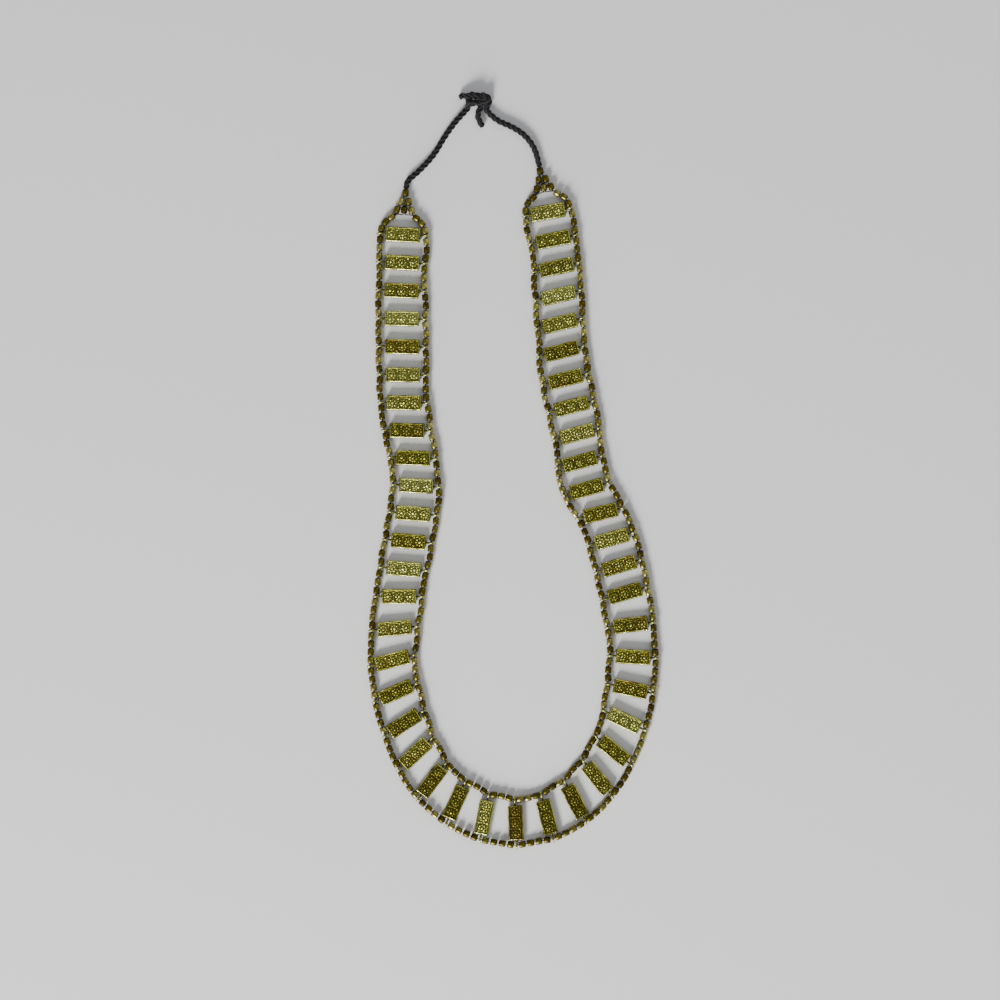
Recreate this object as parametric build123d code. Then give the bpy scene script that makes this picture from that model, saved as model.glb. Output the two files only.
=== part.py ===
from build123d import *
from math import asin, atan2, cos, degrees, hypot, radians, sin, sqrt, tan
import os

# A brass ladder necklace, lying flat as it was laid down. Embossed plates are its rungs, and each
# has a ring soldered to either end. A string of drum-shaped beads runs through the rings on each
# side. At both ends the strings meet in a triangle of six beads, and a knotted black cord joins
# the two triangles. +Y points to the cord, +Z up, and the necklace rests on z = 0. Millimetres.

# Plates
plate_length = 13.8
plate_width = 6.0
plate_thickness = 1.8
plate_corner = 0.6
plate_bevel = 0.3
rim_width = 0.5
field_depth = 0.35
rosette_count = 3
rosette_diameter = 3.6
rosette_top_diameter = 2.7
rosette_height = 0.3
centre_stud_diameter = 1.3
centre_stud_height = 0.25
side_stud_diameter = 0.8
side_stud_height = 0.25
stud_taper = 0.7
sunk = 0.1

# Rings at the ends of a plate
ring_outer = 3.1
ring_wire = 0.75
neck_length = 0.7
neck_width = 0.6
neck_height = 1.0

# Beads and their thread
bead_diameter = 2.7
bead_end_diameter = 2.1
bead_band = 0.8
bead_length = 2.7
bead_bore = 1.4
bead_gap = 0.585
least_gap = 0.25
ring_clearance = 0.1
thread_diameter = 0.45
thread_clearance = 0.15

# Ladder: beads between two rungs, and one more on the outer string where the ladder curves
rung_count = 46
beads_between = 3
extra_outer_beads = 1
first_curved_cell = 14
last_curved_cell = 31

# End triangles: turns between the beads of a side, and the rows above them
side_turns = [30.0, 15.0]
side_gap = 0.1
foot_room = 0.6
side_by_side_gap = 0.25
row_gap = 0.6
apex_gap = 0.8
apex_shift = 0.25
thread_gap = 0.1
end_bead_tilt = 10.0
tie_drop = 0.3
tie_clearance = 0.2
tie_knot_diameter = 1.7
tie_knot_length = 0.4

# Cord and its knot
cord_diameter = 2.5
cord_gap = 0.15
cord_first_run = 3.0
cord_last_run = 5.0
collar_growth = 0.6
collar_reach = 6.0
knot_place = (-14.5, 163.2)
knot_length = 9.0
knot_width = 7.0
knot_height = 4.6
knot_round = 1.9
knot_turn = 10.0

# The ladder's middle line as it was laid down, chosen by hand. x and y are hundredths of the
# ladder's length, heading is the turn of the rung there in degrees, from outer to inner string.
ladder_route = [
    # x, y, heading
    (-8.2, 20.5, -3),
    (-8.3, 16.5, -2),
    (-8.2, 10.0, -1),
    (-7.9, 5.9, -1),
    (-7.2, 1.9, -3),
    (-7.4, -0.2, -4),
    (-8.1, -4.3, -5),
    (-8.8, -8.8, 4),
    (-9.0, -11.2, 13),
    (-8.1, -16.2, 33),
    (-6.1, -20.4, 52),
    (-4.3, -22.1, 65),
    (0.2, -23.7, 92),
    (4.7, -22.1, 117),
    (7.7, -18.1, 142),
    (8.9, -13.7, 168),
    (9.1, -11.2, 177),
    (8.5, -6.5, 196),
    (7.5, -2.4, 196),
    (6.7, -0.5, 193),
    (5.6, 1.4, 195),
    (4.9, 5.5, 195),
    (4.0, 9.7, 194),
    (3.5, 16.0, 193),
    (2.7, 22.2, 190),
]

# How far the beads between two rungs bow outwards, as shares of a bead's length, chosen by hand
# and repeated along the string.
outer_bows = [0.04, -0.05, 0.12, 0.18, 0.2, 0.14, 0.14]
inner_bows = [0.2, -0.1, 0.2, 0.22, 0.16, -0.1, 0.16]

# Points of the cord, chosen by hand. The first and last run of each half are worked out.
cord_routes = {
    "left": [(-39.8, 132.7), (-35.6, 136.6), (-31.2, 141.6), (-27.6, 148.1)],
    "right": [(8.2, 144.6), (4.4, 149.4), (-0.8, 152.6)],
}
knot_legs = {"left": 225.0, "right": 312.0}
tail_routes = [
    [(-18.2, 164.8), (-21.4, 164.2)],
    [(-14.4, 158.4), (-13.8, 155.2), (-12.0, 152.2)],
]

# Sizes that follow from those above
string_spacing = plate_length + 2 * neck_length + ring_outer
bead_height = bead_diameter / 2
ring_height = ring_outer / 2
bead_half = bead_length / 2
bead_end_radius = bead_end_diameter / 2
even_cell = ring_wire + beads_between * bead_length + (beads_between + 1) * bead_gap
curved_cell = even_cell + extra_outer_beads * (bead_length + bead_gap) / 2
thread_play = bead_bore / 2 - thread_diameter / 2 - thread_clearance
row_pitch = bead_diameter + side_by_side_gap

# A corner of a thread that turns less than this many degrees is left out, and an arc takes this
# share of the shorter run beside its corner.
least_turn = 0.4
arc_share = 0.45


def flat(angle):
    """Unit vector in the ground plane, angle in degrees from +X."""
    return Vector(cos(radians(angle)), sin(radians(angle)), 0)


def left_of(direction):
    """The direction turned a quarter to the left."""
    return Vector(-direction.Y, direction.X, 0)


def rung_places():
    """Centre and axis of every rung, by distance along the ladder's middle line."""
    cells = [
        curved_cell if first_curved_cell <= n <= last_curved_cell else even_cell
        for n in range(1, rung_count)
    ]
    ladder_length = sum(cells)
    points = [Vector(x, y, 0) for x, y, heading in ladder_route]
    share = ladder_length / Spline(*points).length
    line = Spline(*[point * share for point in points])
    marks = [line.param_at_point(point * share) for point in points]
    places = []
    travelled = 0.0
    for cell in cells + [0.0]:
        at = min(travelled, line.length)
        centre = line.position_at(at, PositionMode.LENGTH)
        mark = line.param_at_point(centre)
        row = max(n for n in range(len(marks) - 1) if marks[n] <= mark + 1e-9)
        before, after = ladder_route[row][2], ladder_route[row + 1][2]
        part_way = (mark - marks[row]) / (marks[row + 1] - marks[row])
        places.append((centre, flat(before + (after - before) * part_way)))
        travelled += cell
    return places


def ring_room(direction, rung_axis):
    """Distance from a ring's centre to the end of a bead beside it, more where the ring leans."""
    lean = abs(direction.dot(rung_axis))
    return (ring_wire / 2 + ring_clearance + bead_end_radius * lean) / sqrt(1 - lean**2)


def string_stretch(start, end, bow, start_axis, end_axis):
    """Corners of the thread between the rings of two rungs, and the places of the beads on it.

    The beads are spread evenly, and the way bows to the left by bow. Its first and last pieces
    then slope by about eight thirds of bow over the distance.
    """
    chord = (end - start).length
    along = (end - start).normalized()
    aside = left_of(along)
    slope = aside * (8 / 3 * bow / chord)
    start_room = ring_room((along + slope).normalized(), start_axis)
    end_room = ring_room((along - slope).normalized(), end_axis)
    free = chord - start_room - end_room + least_gap
    count = int(free / (bead_length + least_gap))
    spare = (free - count * (bead_length + least_gap)) / (count + 1)
    corners = [start]
    for n in range(1, count):
        reach = start_room + spare + n * (bead_length + least_gap + spare) - (least_gap + spare) / 2
        share = reach / chord
        corners.append(start + along * reach + aside * (4 * bow * share * (1 - share)))
    corners.append(end)
    beads = []
    for n in range(count):
        direction = (corners[n + 1] - corners[n]).normalized()
        middle = (corners[n] + corners[n + 1]) / 2
        if n == 0:
            middle = start + direction * (start_room + spare + bead_half)
        elif n == count - 1:
            middle = end - direction * (end_room + spare + bead_half)
        beads.append((middle, direction))
    return corners, beads


def side_runs(reach):
    """Leans from the rung's normal, runs before and after each bead, and rise of a side strand.

    Its beads nearly touch, so its shape is fixed by its turns, and it leans until it reaches
    from its ring to the foot of the first row. The first bead's room depends on that lean.
    """
    offsets = [sum(side_turns[:n]) for n in range(len(side_turns) + 1)]
    between = [bead_end_radius * tan(radians(turn) / 2) + side_gap / 2 for turn in side_turns]
    lean = 0.0
    for attempt in range(5):
        before = [ring_room(flat(90 - lean), flat(0))] + between
        after = between + [foot_room]
        runs = [first + bead_length + last for first, last in zip(before, after)]
        across = sum(run * sin(radians(offset)) for run, offset in zip(runs, offsets))
        along = sum(run * cos(radians(offset)) for run, offset in zip(runs, offsets))
        lean = degrees(asin(reach / hypot(across, along)) - atan2(across, along))
    rise = sqrt(across**2 + along**2 - reach**2)
    return [lean + offset for offset in offsets], before, runs, rise


def end_triangle(centre, axis, up):
    """The side strands and the six beads of one end, and the ways of its threads.

    axis runs from the outer to the inner string, and up from the last rung to the cord. A side
    is -1 for the outer string and 1 for the inner one.
    """
    tilt = radians(end_bead_tilt)
    foot = row_pitch + (foot_room + bead_half) * sin(tilt)
    leans, before, runs, rise = side_runs(string_spacing / 2 - foot)
    row_3 = rise + (foot_room + bead_half) * cos(tilt)
    row_2 = row_3 + bead_half * (1 + cos(tilt)) + bead_end_radius * sin(tilt) + row_gap
    apex = row_2 + bead_length + apex_gap
    top = apex + bead_half + cord_gap

    def at(u, v):
        return centre + axis * u + up * v

    def leaning(side, lean):
        return up * cos(radians(lean)) - axis * side * sin(radians(lean))

    def way_through(middle, side):
        """Where the thread enters and leaves a bead, close to one wall of its bore at each end."""
        direction = leaning(side, end_bead_tilt)
        inwards = leaning(side, end_bead_tilt + 90)
        return [
            middle - direction * bead_half - inwards * thread_play,
            middle + direction * bead_half + inwards * thread_play,
        ]

    beads = [(at(0, row_3), up), (at(apex_shift, apex), up)]
    strands = {}
    threads = {}
    for side in (-1, 1):
        corner = at(side * string_spacing / 2, 0)
        corners = [corner]
        strand = []
        for lean, room, run in zip(leans, before, runs):
            direction = leaning(side, lean)
            strand.append((corner + direction * (room + bead_half), direction))
            corner = corner + direction * run
            corners.append(corner)
        strands[side] = (corners, strand)
        low = at(side * row_pitch, row_3)
        high = at(side * row_pitch / 2, row_2)
        direction = leaning(side, end_bead_tilt)
        beads += [(low, direction), (high, direction)]
        beside = apex_shift + side * (thread_diameter + thread_gap) / 2
        apex_way = [at(beside, apex - bead_half), at(beside, top)]
        threads[side] = way_through(low, side) + way_through(high, side) + apex_way
    bar_reach = foot - thread_diameter / 2 - tie_clearance
    bar_height = rise - tie_drop
    tie_knot = row_3 + bead_half + thread_gap + tie_knot_length / 2
    return {
        "beads": beads,
        "strands": strands,
        "threads": threads,
        "bar": [at(-bar_reach, bar_height), at(bar_reach, bar_height)],
        "stem": [at(0, bar_height), at(0, tie_knot)],
        "top": at(apex_shift, top),
        "up": up,
    }


def tube(points, diameter, height, name=None):
    """A round tube along straight runs joined by tangent arcs, each as large as its runs allow."""
    kept = [points[0]]
    for n in range(1, len(points) - 1):
        if (points[n] - kept[-1]).get_angle(points[n + 1] - points[n]) > least_turn:
            kept.append(points[n])
    kept.append(points[-1])
    radii = []
    for before, corner, after in zip(kept, kept[1:], kept[2:]):
        half_turn = radians((corner - before).get_angle(after - corner)) / 2
        shorter = min((corner - before).length, (after - corner).length)
        radii.append(arc_share * shorter / tan(half_turn))
    raised = [point + Vector(0, 0, height) for point in kept]
    path = FilletPolyline(*raised, radius=radii) if radii else Line(raised[0], raised[1])
    section = Plane(origin=path @ 0, z_dir=path % 0) * Circle(diameter / 2)
    solid = sweep(section, path=path)
    if name:
        print(name, "length", round(path.length, 1), "radii", [round(radius, 1) for radius in radii])
        share = solid.volume / (section.area * path.length)
        print(name, "volume over section times length", round(share, 4))
    return solid


def bead():
    """A drum-shaped bead drilled along X."""
    outline = Polyline(
        (-bead_half, bead_bore / 2),
        (-bead_half, bead_end_radius),
        (-bead_band / 2, bead_diameter / 2),
        (bead_band / 2, bead_diameter / 2),
        (bead_half, bead_end_radius),
        (bead_half, bead_bore / 2),
        close=True,
    )
    return revolve(make_face(outline), Axis.X)


def turned_to(middle, direction, height):
    return Location((middle.X, middle.Y, height), (0, 0, degrees(atan2(direction.Y, direction.X))))


def bead_row(places):
    """Many beads, as one group of separate solids."""
    pattern = bead()
    return Compound(children=[turned_to(*place, bead_height) * pattern for place in places])


def stud(x, y, height, diameter, top_diameter, tall):
    """A raised round form on a plate, sunk a little into what carries it."""
    stands = (Align.CENTER, Align.CENTER, Align.MIN)
    return Pos(x, y, height - sunk) * Cone(diameter / 2, top_diameter / 2, tall + sunk, align=stands)


def rung():
    """One plate with its relief and its two soldered rings, along X, above its middle."""
    plate = Pos(0, 0, ring_height) * Box(plate_length, plate_width, plate_thickness)
    plate = fillet(plate.edges().filter_by(Axis.Z), plate_corner)
    plate = chamfer(plate.edges().group_by(Axis.Z)[-1], plate_bevel)
    field = ring_height + plate_thickness / 2 - field_depth
    field_length = plate_length - 2 * (plate_bevel + rim_width)
    field_width = plate_width - 2 * (plate_bevel + rim_width)
    plate -= Pos(0, 0, field + field_depth) * Box(field_length, field_width, 2 * field_depth)
    pitch = field_length / rosette_count
    for n in range(rosette_count):
        x = (n - (rosette_count - 1) / 2) * pitch
        plate += stud(x, 0, field, rosette_diameter, rosette_top_diameter, rosette_height)
        top = field + rosette_height
        top_diameter = stud_taper * centre_stud_diameter
        plate += stud(x, 0, top, centre_stud_diameter, top_diameter, centre_stud_height)
    for n in range(1, rosette_count):
        x = (n - rosette_count / 2) * pitch
        y = (field_width - side_stud_diameter) / 2 - sunk
        for side in (-1, 1):
            top_diameter = stud_taper * side_stud_diameter
            plate += stud(x, side * y, field, side_stud_diameter, top_diameter, side_stud_height)
    wire = ring_wire / 2
    starts = (Align.MIN, Align.CENTER, Align.CENTER)
    neck = Box(sunk + neck_length + wire, neck_width, neck_height, align=starts)
    for turn in (0, 180):
        ring = Pos(string_spacing / 2, 0, 0) * Rot(90, 0, 0) * Torus(ring_height - wire, wire)
        end = ring + Pos(plate_length / 2 - sunk, 0, 0) * neck
        plate += Pos(0, 0, ring_height) * Rot(0, 0, turn) * end
    return plate


def cord_finish(name):
    """Where one half of the cord meets the knot's collar."""
    return Vector(*knot_place) + flat(knot_legs[name]) * collar_reach


def knot_with_tails():
    """The knot as one rounded lump on the ground, with a collar for each cord and two tails."""
    middle = Vector(*knot_place)
    lump = fillet(Box(knot_length, knot_width, knot_height).edges(), knot_round)
    solid = Pos(middle.X, middle.Y, knot_height / 2) * Rot(0, 0, knot_turn) * lump
    collar = cord_diameter + collar_growth
    for name in knot_legs:
        solid += tube([middle, cord_finish(name)], collar, collar / 2)
    for route in tail_routes:
        way = [middle] + [Vector(*point) for point in route]
        solid += tube(way, cord_diameter, cord_diameter / 2)
    return solid


places = rung_places()
pattern = rung()
rungs = [turned_to(centre, axis, 0) * pattern for centre, axis in places]

outer_rings = [centre - axis * (string_spacing / 2) for centre, axis in places]
inner_rings = [centre + axis * (string_spacing / 2) for centre, axis in places]
axes = [axis for centre, axis in places]

left_end = end_triangle(*places[0], left_of(axes[0]))
right_end = end_triangle(*places[-1], left_of(axes[-1]) * -1)


def string(rings, side, bows, away):
    """Thread corners and bead places of a whole string, from the left end to the right one.

    side picks the half of each triangle, and away is 1 where a positive bow goes to the left of
    the way and -1 where it goes to the right.
    """
    left_corners, left_beads = left_end["strands"][side]
    stretches = [(left_corners[::-1], left_beads[::-1])]
    for n in range(rung_count - 1):
        bow = away * bows[n % len(bows)] * bead_length
        stretches.append(string_stretch(rings[n], rings[n + 1], bow, axes[n], axes[n + 1]))
    stretches.append(right_end["strands"][side])
    corners = left_end["threads"][side][::-1]
    for way, beads in stretches:
        corners += way[:-1]
    corners += [stretches[-1][0][-1]] + right_end["threads"][side]
    return corners, stretches


outer_corners, outer_stretches = string(outer_rings, -1, outer_bows, -1)
inner_corners, inner_stretches = string(inner_rings, 1, inner_bows, 1)
outer_places = [place for way, beads in outer_stretches for place in beads]
inner_places = [place for way, beads in inner_stretches for place in beads]
print("outer beads", len(outer_places), "inner beads", len(inner_places))

outer_beads = bead_row(outer_places)
outer_thread = tube(outer_corners, thread_diameter, bead_height)

# The inner string is thick where its beads are and thin where its thread passes a ring.
thick_stretches = []
for way, beads in inner_stretches:
    ahead = 1 if (way[-1] - way[0]).dot(beads[0][1]) > 0 else -1
    first, last = beads[0], beads[-1]
    thick = [first[0] - first[1] * (ahead * bead_half)] + way[1:-1]
    thick.append(last[0] + last[1] * (ahead * bead_half))
    thick_stretches.append(tube(thick, bead_diameter, bead_height))
inner_string = tube(inner_corners, thread_diameter, bead_height) + thick_stretches


def tie_thread(end):
    """The thread that holds the middle bead: a bar between the strings, a stem and a flat knot."""
    knot = Plane(origin=end["stem"][1] + Vector(0, 0, bead_height), z_dir=end["up"])
    return (
        tube(end["bar"], thread_diameter, bead_height)
        + tube(end["stem"], thread_diameter, bead_height)
        + knot * Cylinder(tie_knot_diameter / 2, tie_knot_length)
    )


nodes = {f"rung_{n + 1:02d}": solid for n, solid in enumerate(rungs)}
nodes["outer_beads"] = outer_beads
nodes["outer_thread"] = outer_thread
nodes["inner_string"] = inner_string
for name, end in (("left", left_end), ("right", right_end)):
    nodes[f"{name}_end_beads"] = bead_row(end["beads"])
    nodes[f"{name}_tie_thread"] = tie_thread(end)

# The origin is the middle of the beadwork's box, on the ground.
boxes = [solid.bounding_box() for solid in nodes.values()]
middle = Vector(
    (min(box.min.X for box in boxes) + max(box.max.X for box in boxes)) / 2,
    (min(box.min.Y for box in boxes) + max(box.max.Y for box in boxes)) / 2,
)
nodes = {name: Pos(-middle.X, -middle.Y, 0) * solid for name, solid in nodes.items()}

nodes["cord_knot"] = knot_with_tails()
for name, end in (("left", left_end), ("right", right_end)):
    start = end["top"] - middle
    route = [Vector(*point) for point in cord_routes[name]]
    finish = cord_finish(name)
    towards = flat(knot_legs[name])
    way = [start, start + end["up"] * cord_first_run] + route
    way += [finish + towards * cord_last_run, finish]
    nodes[f"cord_{name}"] = tube(way, cord_diameter, cord_diameter / 2, f"cord_{name}")

os.makedirs("parts", exist_ok=True)
for name, solid in nodes.items():
    export_step(solid, f"parts/{name}.step")
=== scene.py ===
# %% [markdown]
# # A brass ladder necklace
#
# Forty-six stamped brass plates lie like rungs between two strings of small brass beads, and a black
# cord closes the loop behind the neck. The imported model, the frame, says where each rung lies. This
# lesson dresses that frame: it gives the plates their relief, strings the beads one by one, and twists
# the cord. All meshes are worked out in millimetres and stored in metres, in the frame's coordinates.

# %% The frame
import bpy
import numpy as np
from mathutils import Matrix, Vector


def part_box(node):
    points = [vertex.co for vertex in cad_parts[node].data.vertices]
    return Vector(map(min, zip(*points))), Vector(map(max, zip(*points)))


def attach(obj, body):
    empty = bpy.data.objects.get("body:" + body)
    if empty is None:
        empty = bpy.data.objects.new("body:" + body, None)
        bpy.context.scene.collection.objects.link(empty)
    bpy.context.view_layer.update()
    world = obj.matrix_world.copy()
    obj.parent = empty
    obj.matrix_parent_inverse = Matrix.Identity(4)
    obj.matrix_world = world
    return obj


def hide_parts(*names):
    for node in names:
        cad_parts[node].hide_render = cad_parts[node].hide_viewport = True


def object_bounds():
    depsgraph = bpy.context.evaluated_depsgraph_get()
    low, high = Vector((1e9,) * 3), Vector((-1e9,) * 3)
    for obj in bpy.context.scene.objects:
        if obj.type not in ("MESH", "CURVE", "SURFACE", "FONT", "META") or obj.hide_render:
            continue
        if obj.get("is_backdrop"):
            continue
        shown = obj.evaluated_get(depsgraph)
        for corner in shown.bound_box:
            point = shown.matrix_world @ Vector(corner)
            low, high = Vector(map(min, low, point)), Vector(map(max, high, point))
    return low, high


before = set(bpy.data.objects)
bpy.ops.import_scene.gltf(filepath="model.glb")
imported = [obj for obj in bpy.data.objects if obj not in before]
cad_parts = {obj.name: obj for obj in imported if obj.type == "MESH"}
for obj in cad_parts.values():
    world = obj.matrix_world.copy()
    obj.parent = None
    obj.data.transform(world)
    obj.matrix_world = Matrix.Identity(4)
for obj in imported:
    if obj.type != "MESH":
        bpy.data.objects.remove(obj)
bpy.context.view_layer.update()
MM = 0.001
chance = np.random.default_rng(46)

# %% [markdown]
# ## The camera
#
# The necklace was seen from straight above. A camera that looks down needs no turn at all, only a
# place, and its height follows from its lens and from how much of the ground the picture spans. The
# other way, a tracked camera, would turn the picture by itself when its target moved.

# %% The camera
VIEW_SPAN = 400 * MM
VIEW_MIDDLE = (-5.22 * MM, 3.28 * MM)


def add_object(name, data):
    """A new object in the scene, with this mesh, curve, lamp or lens as its data."""
    thing = bpy.data.objects.new(name, data)
    bpy.context.scene.collection.objects.link(thing)
    return thing


lens = bpy.data.cameras.new("camera")
lens.lens = 85
lens.sensor_width = 36
lens.clip_start = 0.01
camera = add_object("camera", lens)
camera.location = (*VIEW_MIDDLE, VIEW_SPAN * lens.lens / lens.sensor_width)
bpy.context.scene.camera = camera
print("camera height", round(camera.location.z, 3), "m")

# %% [markdown]
# ## Where the rungs lie
#
# A flat place is kept as one complex number, x + iy: adding moves it, and multiplying by a number of
# length one turns it. Each rung's middle is the middle of its box. Its axis is the direction across
# which it is narrowest, which a search over small turns finds to a fiftieth of a degree. The first
# axis points to the inner string, and every other one is kept on the same side as the one before.
# Places that were typed in would go stale with the first change to the frame.

# %% Where the rungs lie
RUNG_COUNT = 46
SEARCH_DEGREES = 3
SEARCH_STEP = 0.02


def corners_of(node):
    """The corners of a frame mesh, as an array in millimetres."""
    flat_list = np.empty(3 * len(node.data.vertices), np.float32)
    node.data.vertices.foreach_get("co", flat_list)
    return flat_list.reshape(-1, 3) / MM


def narrowest_axis(points):
    """The direction whose left-hand normal spans the points least, for flat points as complex numbers.

    The first guess is the longest axis of their spread, half the angle of their mean square.
    """
    guess = np.angle(np.mean(points**2)) / 2
    turns = np.exp(1j * (guess + np.radians(np.arange(-SEARCH_DEGREES, SEARCH_DEGREES, SEARCH_STEP))))
    across = (points[None, ::3] * turns[:, None].conj()).imag
    return turns[np.argmin(np.ptp(across, axis=1))]


rung_middles = []
rung_axes = []
for number in range(1, RUNG_COUNT + 1):
    corners = corners_of(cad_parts[f"rung_{number:02d}"])
    box_middle = (corners.min(0) + corners.max(0)) / 2
    middle = complex(box_middle[0], box_middle[1])
    axis = narrowest_axis(corners[:, 0] + 1j * corners[:, 1] - middle)
    before = rung_axes[-1] if rung_axes else 1
    rung_middles.append(middle)
    rung_axes.append(axis if (axis * np.conj(before)).real > 0 else -axis)
rung_middles = np.array(rung_middles)
rung_axes = np.array(rung_axes)
print("rungs", len(rung_middles), "from", np.round(rung_middles[0], 1), "to", np.round(rung_middles[-1], 1))

# %% [markdown]
# ## Where the beads sit
#
# Between two rings the thread bows a little, and the beads share the room that is left, so the gaps
# differ from cell to cell as they do on a hand-strung piece. The same rule made the frame's strings.
# An array of beads along a curve would be quicker to make, but it would run beads into the rings. The
# sizes are those of the frame, in millimetres.

# %% Where the beads sit
RING_SPACING = 18.3
RING_OUTER = 3.1
RING_WIRE = 0.75
RING_CLEARANCE = 0.1
BEAD_LENGTH = 2.7
BEAD_HALF = BEAD_LENGTH / 2
BEAD_RADIUS = 1.35
BEAD_END_RADIUS = 1.05
BEAD_BORE_RADIUS = 0.7
LEAST_GAP = 0.25
# how far the thread bows between two rings, in bead lengths, taken in turn from the left end on
OUTER_BOWS = [0.04, -0.05, 0.12, 0.18, 0.2, 0.14, 0.14]
INNER_BOWS = [0.2, -0.1, 0.2, 0.22, 0.16, -0.1, 0.16]


def unit(direction):
    """The direction with length one."""
    return direction / np.abs(direction)


def turned(degrees):
    """A turn of that many degrees, as a complex number of length one."""
    return np.exp(1j * np.radians(degrees))


def ring_room(direction, axis):
    """Distance from a ring's middle to a bead's end: half the wire and some air, more with its lean."""
    lean = abs((direction * np.conj(axis)).real)
    return (RING_WIRE / 2 + RING_CLEARANCE + BEAD_END_RADIUS * lean) / np.sqrt(1 - lean**2)


def bead_stretch(start, end, bow, start_axis, end_axis):
    """Thread corners, bead middles and bead directions between two rings.

    The way leaves the straight line by 4 bow t (1 - t), and its first and last pieces slope by
    eight thirds of bow over the distance. The spare room is shared evenly.
    """
    chord = abs(end - start)
    along = (end - start) / chord
    slope = 1j * along * 8 / 3 * bow / chord
    first_room = ring_room(unit(along + slope), start_axis)
    last_room = ring_room(unit(along - slope), end_axis)
    free = chord - first_room - last_room + LEAST_GAP
    count = int(free / (BEAD_LENGTH + LEAST_GAP))
    spare = (free - count * (BEAD_LENGTH + LEAST_GAP)) / (count + 1)
    pitch = BEAD_LENGTH + LEAST_GAP + spare
    reach = first_room + spare / 2 + np.arange(1, count) * pitch - LEAST_GAP / 2
    share = reach / chord
    between = start + along * reach + 1j * along * 4 * bow * share * (1 - share)
    corners = np.concatenate([[start], between, [end]])
    directions = unit(np.diff(corners))
    middles = (corners[1:] + corners[:-1]) / 2
    middles[0] = start + directions[0] * (first_room + spare + BEAD_HALF)
    middles[-1] = end - directions[-1] * (last_room + spare + BEAD_HALF)
    return corners, middles, directions


print("beads on a straight stretch of 10 mm:", len(bead_stretch(0, 10, 0, 1j, 1j)[1]))

# %% [markdown]
# ## The two end triangles
#
# Beyond the last rung each string climbs inwards with three beads that nearly touch. Six more beads
# stand on the two threads in rows of three, two and one, and the cord starts above the last one. The
# strand leans just far enough to reach the foot of the first row, which a few rounds of improving the
# lean find, because the room beside the ring depends on the lean itself. Beads placed by eye would sit
# beside their threads. With both ends known, each string is put together from left to right.

# %% The two end triangles
# the turns between the three beads of a side strand, and the lean of the lower rows, in degrees
SIDE_TURNS = [30, 15]
END_TILT = 10
SIDE_GAP = 0.1
FOOT_ROOM = 0.6
ROW_PITCH = 2.95
ROW_GAP = 0.6
APEX_GAP = 0.8
APEX_SHIFT = 0.25
CORD_GAP = 0.15
LEAN_ROUNDS = 5
THREAD_DIAMETER = 0.45
THREAD_PLAY = 0.325
THREAD_GAP = 0.1


def side_strand(reach):
    """Leans from the rung's normal, rooms before the beads, runs, and rise of a side strand."""
    offsets = np.concatenate([[0], np.cumsum(SIDE_TURNS)])
    between = [BEAD_END_RADIUS * np.tan(np.radians(turn) / 2) + SIDE_GAP / 2 for turn in SIDE_TURNS]
    after = np.array(between + [FOOT_ROOM])
    lean = 0.0
    for improvement in range(LEAN_ROUNDS):
        rooms = np.array([ring_room(turned(90 - lean), 1)] + between)
        runs = rooms + BEAD_LENGTH + after
        whole = np.sum(runs * turned(offsets))
        lean = np.degrees(np.arcsin(reach / abs(whole)) - np.angle(whole))
    return lean + offsets, rooms, runs, np.sqrt(abs(whole) ** 2 - reach**2)


def end_triangle(middle, axis, up):
    """Beads, side strands, thread ways and the top of one end, side -1 outer and 1 inner."""
    tilt = turned(END_TILT)
    foot = ROW_PITCH + (FOOT_ROOM + BEAD_HALF) * tilt.imag
    leans, rooms, runs, rise = side_strand(RING_SPACING / 2 - foot)
    row_3 = rise + (FOOT_ROOM + BEAD_HALF) * tilt.real
    row_2 = row_3 + BEAD_HALF * (1 + tilt.real) + BEAD_END_RADIUS * tilt.imag + ROW_GAP
    apex = row_2 + BEAD_LENGTH + APEX_GAP
    top = apex + BEAD_HALF + CORD_GAP
    end = {"middles": [middle + up * row_3, middle + axis * APEX_SHIFT + up * apex], "ways": [up, up]}
    end["tie"] = foot, rise, row_3
    end["top"] = middle + axis * APEX_SHIFT + up * top
    for side in (-1, 1):
        leaning = up * np.cos(np.radians(leans)) - axis * side * np.sin(np.radians(leans))
        starts = middle + axis * side * RING_SPACING / 2
        corners = starts + np.concatenate([[0], np.cumsum(leaning * runs)])
        end[side] = (corners, corners[:-1] + leaning * (rooms + BEAD_HALF), leaning)
        way = up * tilt.real - axis * side * tilt.imag
        inwards = -up * tilt.imag - axis * side * tilt.real
        low = middle + axis * side * ROW_PITCH + up * row_3
        high = middle + axis * side * ROW_PITCH / 2 + up * row_2
        end["middles"] += [low, high]
        end["ways"] += [way, way]
        bent = way * BEAD_HALF + inwards * THREAD_PLAY
        beside = middle + axis * (APEX_SHIFT + side * (THREAD_DIAMETER + THREAD_GAP) / 2)
        end["thread", side] = [low - bent, low + bent, high - bent, high + bent]
        end["thread", side] += [beside + up * (apex - BEAD_HALF), beside + up * top]
    return end


left_end = end_triangle(rung_middles[0], rung_axes[0], 1j * rung_axes[0])
right_end = end_triangle(rung_middles[-1], rung_axes[-1], -1j * rung_axes[-1])
print("cord starts at", np.round(left_end["top"], 1), "and", np.round(right_end["top"], 1))


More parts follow.
